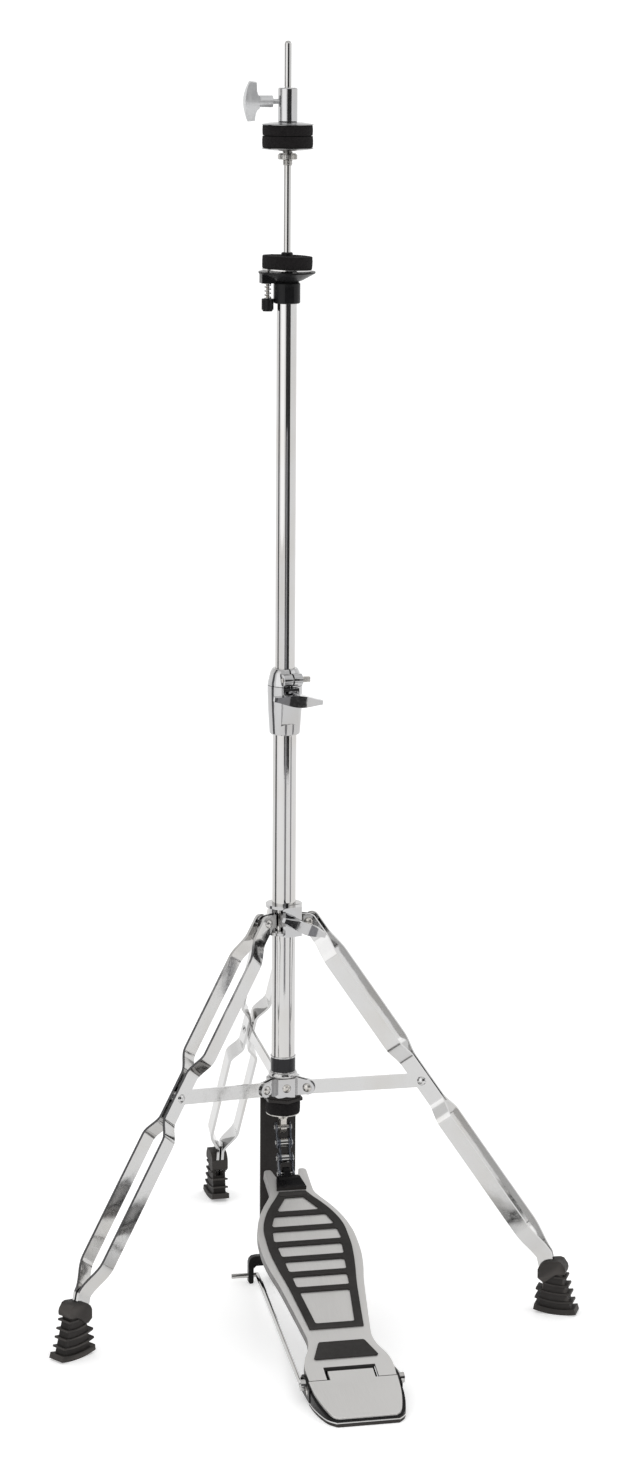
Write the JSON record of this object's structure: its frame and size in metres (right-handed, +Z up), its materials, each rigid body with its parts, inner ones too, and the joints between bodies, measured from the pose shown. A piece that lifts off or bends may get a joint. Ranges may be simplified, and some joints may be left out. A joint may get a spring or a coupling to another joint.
{
  "type": "hi-hat stand",
  "caption": "Free-standing chrome stand for a pair of cymbals: chain-driven foot pedal, sprung pull rod, folding strip-leg tripod, height clamp, clutch and tilting lower seat.",
  "frame": {"origin": "on the floor under the mast axis, on the underside of the tongue of the base strap", "axes": "+Z up along the mast, -Y along the pedal towards the player, +X to the right of a viewer who faces the pedal"},
  "size_m": [0.4339, 0.5507, 1.0039],
  "materials": {
    "black_felt": "dense pressed wool felt",
    "black_plastic": "fine satin moulding",
    "black_rubber": "dark rubber, matt",
    "black_steel": "satin black powder coat",
    "board_steel": "bright nickel-plated board, lightly worn",
    "bright_rod": "drawn bright steel",
    "chrome_cast": "chrome plate over a casting, soft edges",
    "chrome_strip": "chrome plate over pressed strip, slightly uneven",
    "chrome_tube": "polished chrome plate",
    "dark_label": "dark band with bright edges, no lettering",
    "grey_rubber": "tread rubber, worn slightly grey",
    "nylon": "natural nylon",
    "zinc_steel": "zinc-plated steel, dull bright"
  },
  "bodies": {
    "base": {"lower_tube": "chrome_tube", "tube_band": "dark_label", "clamp_body": "chrome_cast", "clamp_bush": "nylon", "hub_bracket": "chrome_cast", "hub_fasteners": "zinc_steel", "hub_ring": "chrome_cast", "rod_guide": "nylon", "post_strap": "black_steel", "base_bridge": "black_steel", "radius_rods": "bright_rod", "heel_base": "black_steel", "heel_cover": "board_steel", "heel_plate": "chrome_strip", "heel_rubber": "black_rubber", "heel_pin": "zinc_steel"},
    "pedal": {"footboard": "board_steel", "footboard_mat": "grey_rubber", "heel_mat": "grey_rubber", "toe_clamp": "black_steel"},
    "pull_rod": {"clevis": "zinc_steel", "lower_rod": "bright_rod", "rod_coupler": "zinc_steel", "upper_rod": "bright_rod", "bumper_felt": "black_felt", "bumper_washer": "zinc_steel", "pull_spring": "zinc_steel"},
    "chain": {"chain_outer_plates": "zinc_steel", "chain_inner_plates": "zinc_steel", "chain_pins": "bright_rod"},
    "clutch": {"clutch_barrel": "chrome_cast", "clutch_sleeve": "bright_rod", "clutch_top_dome": "chrome_tube", "clutch_felts": "black_felt", "clutch_bottom_dome": "chrome_tube"},
    "clutch_wing": {"clutch_wing_bolt": "chrome_cast"},
    "lock_nut": {"clutch_nut": "zinc_steel"},
    "mast": {"upper_tube": "chrome_tube", "seat_cup": "black_plastic", "seat_sleeve": "black_plastic"},
    "cymbal_seat": {"seat_washer": "zinc_steel", "seat_felt": "black_felt"},
    "tilt_screw": {"tilt_screw": "zinc_steel", "tilt_spring": "zinc_steel"},
    "tilt_knob": {"tilt_knob": "black_plastic"},
    "memory_lock": {"memory_lock": "chrome_cast"},
    "memory_bolt": {"memory_bolt": "zinc_steel"},
    "height_wing": {"height_wing_bolt": "chrome_cast"},
    "collar": {"leg_collar": "chrome_cast", "collar_pins": "zinc_steel"},
    "collar_wing": {"collar_wing_bolt": "chrome_cast"},
    "leg_left": {"leg_left": "chrome_strip", "foot_left": "black_rubber"},
    "leg_right": {"leg_right": "chrome_strip", "foot_right": "black_rubber"},
    "leg_back": {"leg_back": "chrome_strip", "foot_back": "black_rubber"},
    "brace_left": {"brace_left": "chrome_strip"},
    "brace_right": {"brace_right": "chrome_strip"},
    "brace_back": {"brace_back": "chrome_strip"}
  },
  "joints": [
    {"name": "pedal_press", "type": "hinge", "parent": "base", "child": "pedal", "pos_m": [0, -0.254, 0.0095], "axis": [-1, 0, 0], "range_deg": [0, 8]},
    {"name": "rod_pull", "type": "slide", "parent": "base", "child": "pull_rod", "axis": [0, 0, -1], "range_m": [0, 0.0322], "stiffness_N_per_m": 900, "springref_m": -0.03, "deforming": ["pull_spring"]},
    {"name": "chain_swing", "type": "hinge", "parent": "pull_rod", "child": "chain", "pos_m": [0, 0, 0.1352], "axis": [1, 0, 0], "range_deg": [0, 15.8]},
    {"name": "clutch_height", "type": "slide", "parent": "pull_rod", "child": "clutch", "axis": [0, 0, 1], "range_m": [-0.03, 0.03]},
    {"name": "clutch_wing_turn", "type": "hinge", "parent": "clutch", "child": "clutch_wing", "pos_m": [-0.02, 0, 0.958], "axis": [-1, 0, 0], "range_deg": [-720, 0]},
    {"name": "clutch_nut_turn", "type": "hinge", "parent": "clutch", "child": "lock_nut", "pos_m": [0, 0, 0.916], "axis": [0, 0, 1], "range_deg": [-1440, 0]},
    {"name": "height_slide", "type": "slide", "parent": "base", "child": "mast", "axis": [0, 0, 1], "range_m": [-0.11, 0.05]},
    {"name": "tilt_knob_turn", "type": "hinge", "parent": "tilt_screw", "child": "tilt_knob", "pos_m": [-0.0153, 0, 0.8], "axis": [0, 0, 1], "range_deg": [-572, 1906]},
    {"name": "tilt_screw_rise", "type": "slide", "parent": "mast", "child": "tilt_screw", "axis": [0, 0, 1], "range_m": [-0.0011, 0.0037], "deforming": ["tilt_spring"]},
    {"name": "seat_tilt", "type": "hinge", "parent": "mast", "child": "cymbal_seat", "pos_m": [0.02, 0, 0.8281], "axis": [0, 1, 0], "range_deg": [-1.85, 6.05]},
    {"name": "lock_slide", "type": "slide", "parent": "base", "child": "memory_lock", "axis": [0, 0, 1], "range_m": [0, 0.09]},
    {"name": "memory_bolt_turn", "type": "hinge", "parent": "memory_lock", "child": "memory_bolt", "pos_m": [0.00253, -0.01438, 0.5079], "axis": [0.9848, 0.1736, 0], "range_deg": [-360, 0]},
    {"name": "height_wing_turn", "type": "hinge", "parent": "base", "child": "height_wing", "pos_m": [0.00262, -0.02989, 0.4951], "axis": [0.0872, -0.9962, 0], "range_deg": [-720, 0]},
    {"name": "collar_slide", "type": "slide", "parent": "base", "child": "collar", "axis": [0, 0, 1], "range_m": [0, 0.10765]},
    {"name": "collar_wing_turn", "type": "hinge", "parent": "collar", "child": "collar_wing", "pos_m": [0.00777, -0.02898, 0.3106], "axis": [0.2588, -0.9659, 0], "range_deg": [-720, 0]},
    {"name": "leg_left_fold", "type": "hinge", "parent": "collar", "child": "leg_left", "pos_m": [-0.01874, -0.01191, 0.3106], "axis": [0.5364, -0.844, 0], "range_deg": [0, 27.4]},
    {"name": "brace_left_fold", "type": "hinge", "parent": "base", "child": "brace_left", "pos_m": [-0.01772, -0.01127, 0.171], "axis": [0.5364, -0.844, 0], "range_deg": [-65.4, 0]},
    {"name": "leg_right_fold", "type": "hinge", "parent": "collar", "child": "leg_right", "pos_m": [0.01968, -0.01027, 0.3106], "axis": [0.4627, 0.8865, 0], "range_deg": [0, 27.4]},
    {"name": "brace_right_fold", "type": "hinge", "parent": "base", "child": "brace_right", "pos_m": [0.01862, -0.00972, 0.171], "axis": [0.4627, 0.8865, 0], "range_deg": [-65.4, 0]},
    {"name": "leg_back_fold", "type": "hinge", "parent": "collar", "child": "leg_back", "pos_m": [-0.00094, 0.02218, 0.3106], "axis": [-0.9991, -0.0426, 0], "range_deg": [0, 27.4]},
    {"name": "brace_back_fold", "type": "hinge", "parent": "base", "child": "brace_back", "pos_m": [-0.00089, 0.02098, 0.171], "axis": [-0.9991, -0.0426, 0], "range_deg": [-65.4, 0]}
  ],
  "couplings": [
    {"joint": "rod_pull", "follows": "pedal_press", "m_per_rad": 0.2306},
    {"joint": "chain_swing", "follows": "pedal_press", "ratio": 1.963},
    {"joint": "tilt_knob_turn", "follows": "tilt_screw_rise", "rad_per_m": 8976},
    {"joint": "seat_tilt", "follows": "tilt_screw_rise", "rad_per_m": 28.25},
    {"joint": "leg_left_fold", "follows": "collar_slide", "rad_per_m": 4.4295},
    {"joint": "brace_left_fold", "follows": "collar_slide", "rad_per_m": -10.587},
    {"joint": "leg_right_fold", "follows": "collar_slide", "rad_per_m": 4.4295},
    {"joint": "brace_right_fold", "follows": "collar_slide", "rad_per_m": -10.587},
    {"joint": "leg_back_fold", "follows": "collar_slide", "rad_per_m": 4.4295},
    {"joint": "brace_back_fold", "follows": "collar_slide", "rad_per_m": -10.587}
  ]
}
